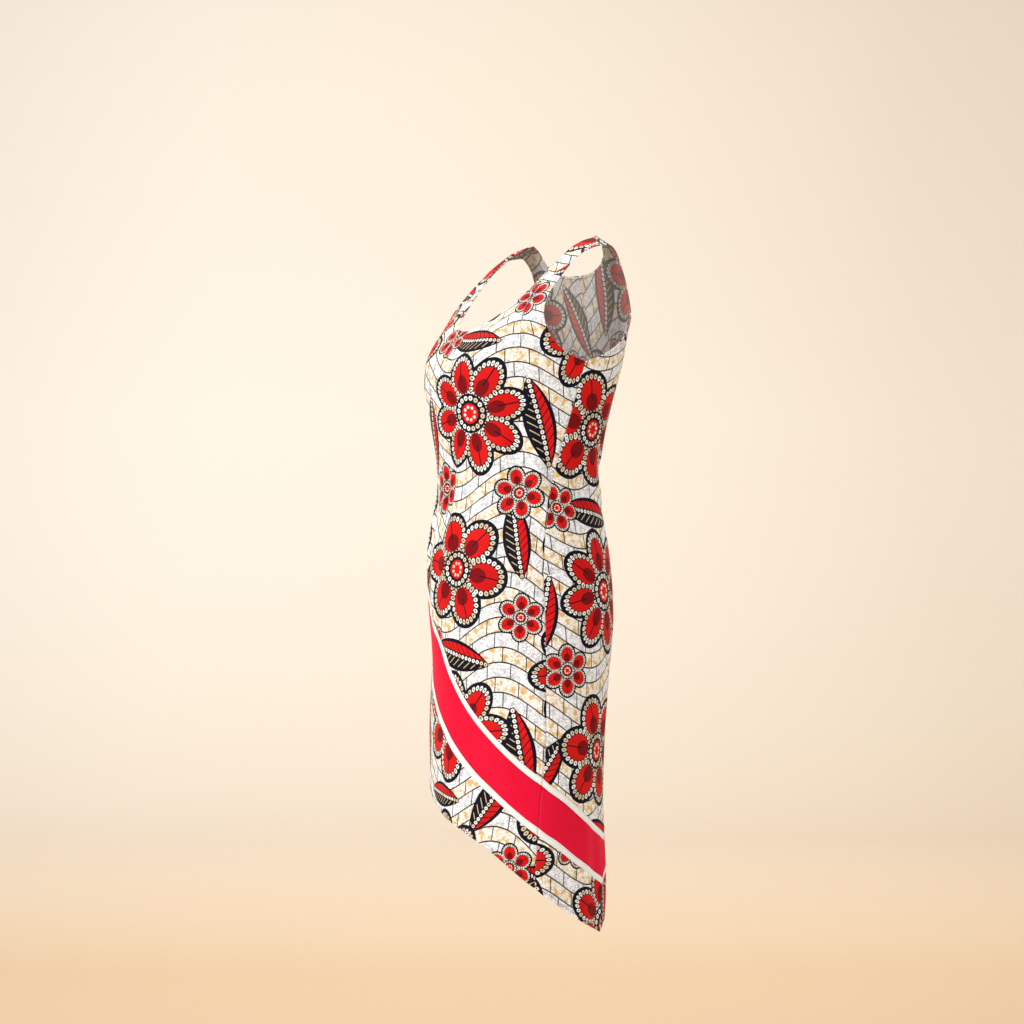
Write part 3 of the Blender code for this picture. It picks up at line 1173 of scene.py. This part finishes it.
class DRESS_OT_stage(bpy.types.Operator):
    """Sets the pale backdrop, the soft lights and the camera"""

    bl_idname = "dress.stage"
    bl_label = "Stage"

    def execute(self, context):
        settings = context.scene.dress_stage
        azimuth = settings.azimuth
        toward = Vector((-sin(azimuth), cos(azimuth), 0.0))
        right = Vector((cos(azimuth), sin(azimuth), 0.0))
        mesh = bmesh.new()
        bmesh.ops.create_grid(mesh, x_segments=1, y_segments=1, size=FLOOR_HALF_SIZE)
        far = [edge for edge in mesh.edges if all(vert.co.y > 0 for vert in edge.verts)]
        bmesh.ops.spin(
            mesh,
            geom=far,
            cent=(0.0, FLOOR_HALF_SIZE, CURVE_RADIUS),
            axis=(1.0, 0.0, 0.0),
            angle=pi / 2,
            steps=CURVE_STEPS,
            use_duplicate=False,
        )
        top = CURVE_RADIUS - 0.01
        last = [edge for edge in mesh.edges if all(vert.co.z > top for vert in edge.verts)]
        grown = bmesh.ops.extrude_edge_only(mesh, edges=last)
        for item in grown["geom"]:
            if isinstance(item, bmesh.types.BMVert):
                item.co.z += WALL_HEIGHT
        for vert in mesh.verts:
            place = right * vert.co.x + toward * (vert.co.y - FLOOR_BEHIND)
            vert.co = Vector((place.x, place.y, vert.co.z + FLOOR_HEIGHT))
        data = bpy.data.meshes.new("backdrop")
        mesh.to_mesh(data)
        mesh.free()
        data.shade_smooth()
        backdrop = bpy.data.objects.new("backdrop", data)
        context.scene.collection.objects.link(backdrop)
        g = Graph("Pale backdrop")
        place = g.wire(g.add("ShaderNodeTexCoord"), "Object")
        across = g.along(place, right)
        away = g.along(place, toward)
        # The wall darkens towards the right as painted shade
        wall = g.mix(g.ramp(across, *SIDE_SHADE_RANGE), settings.backdrop[:], settings.far_side_shade[:])
        pale_floor = g.ramp(away, *NEAR_FLOOR_RANGE)
        beyond_dress = g.ramp(away, *WALL_RANGE)
        pale = pale_floor.math("MAXIMUM", beyond_dress)
        g.feed("Base Color", g.mix(pale, settings.floor[:], wall))
        g.feed("Roughness", 0.95)
        g.feed("Specular IOR Level", 0.1)
        data.materials.append(g.material)

        middle = Vector(MIDDLE)
        for name, (away, across, up), aim, size, power, colour in LIGHTS:
            place = toward * away + right * across + Vector((0.0, 0.0, up))
            target = middle + toward * aim
            area_light(name, middle + place, target, size, power, colour)
        world = bpy.data.worlds.new("Pale room")
        world.use_nodes = True
        room = world.node_tree.nodes["Background"]
        room.inputs["Color"].default_value = ROOM_COLOUR
        room.inputs["Strength"].default_value = ROOM_STRENGTH
        context.scene.world = world
        context.scene.view_settings.view_transform = "Standard"

        lens = bpy.data.cameras.new("camera")
        lens.sensor_width = SENSOR
        lens.lens = LENS
        lens.shift_x = SHIFT
        camera = bpy.data.objects.new("camera", lens)
        camera.location = toward * -settings.distance + Vector((0.0, 0.0, CAMERA_HEIGHT))
        camera.rotation_euler = (radians(90.0), 0.0, azimuth)
        context.scene.collection.objects.link(camera)
        context.scene.camera = camera
        return {"FINISHED"}


class DRESS_PT_panel(bpy.types.Panel):
    """Lists the steps that dress the panels"""

    bl_idname = "DRESS_PT_panel"
    bl_label = "Wax Print Dress"
    bl_space_type = "VIEW_3D"
    bl_region_type = "UI"
    bl_category = "Dress"

    def draw(self, context):
        scene = context.scene
        for settings in (scene.dress_cloth, scene.dress_print, scene.dress_stage):
            for name in settings.__annotations__:
                self.layout.prop(settings, name)
        for step in STEPS:
            self.layout.operator(step.bl_idname)


STEPS = (DRESS_OT_cut, DRESS_OT_print, DRESS_OT_band, DRESS_OT_strips, DRESS_OT_stage)
GROUPS = (ClothSettings, PrintSettings, StageSettings)


def register():
    for item in (*GROUPS, *STEPS, DRESS_PT_panel):
        bpy.utils.register_class(item)
    bpy.types.Scene.dress_cloth = bpy.props.PointerProperty(type=ClothSettings)
    bpy.types.Scene.dress_print = bpy.props.PointerProperty(type=PrintSettings)
    bpy.types.Scene.dress_stage = bpy.props.PointerProperty(type=StageSettings)


def unregister():
    del bpy.types.Scene.dress_stage
    del bpy.types.Scene.dress_print
    del bpy.types.Scene.dress_cloth
    for item in reversed((*GROUPS, *STEPS, DRESS_PT_panel)):
        bpy.utils.unregister_class(item)


def main():
    register()
    bpy.ops.dress.cut()
    bpy.ops.dress.print()
    bpy.ops.dress.band()
    bpy.ops.dress.strips()
    bpy.ops.dress.stage()


if __name__ == "__main__":
    main()
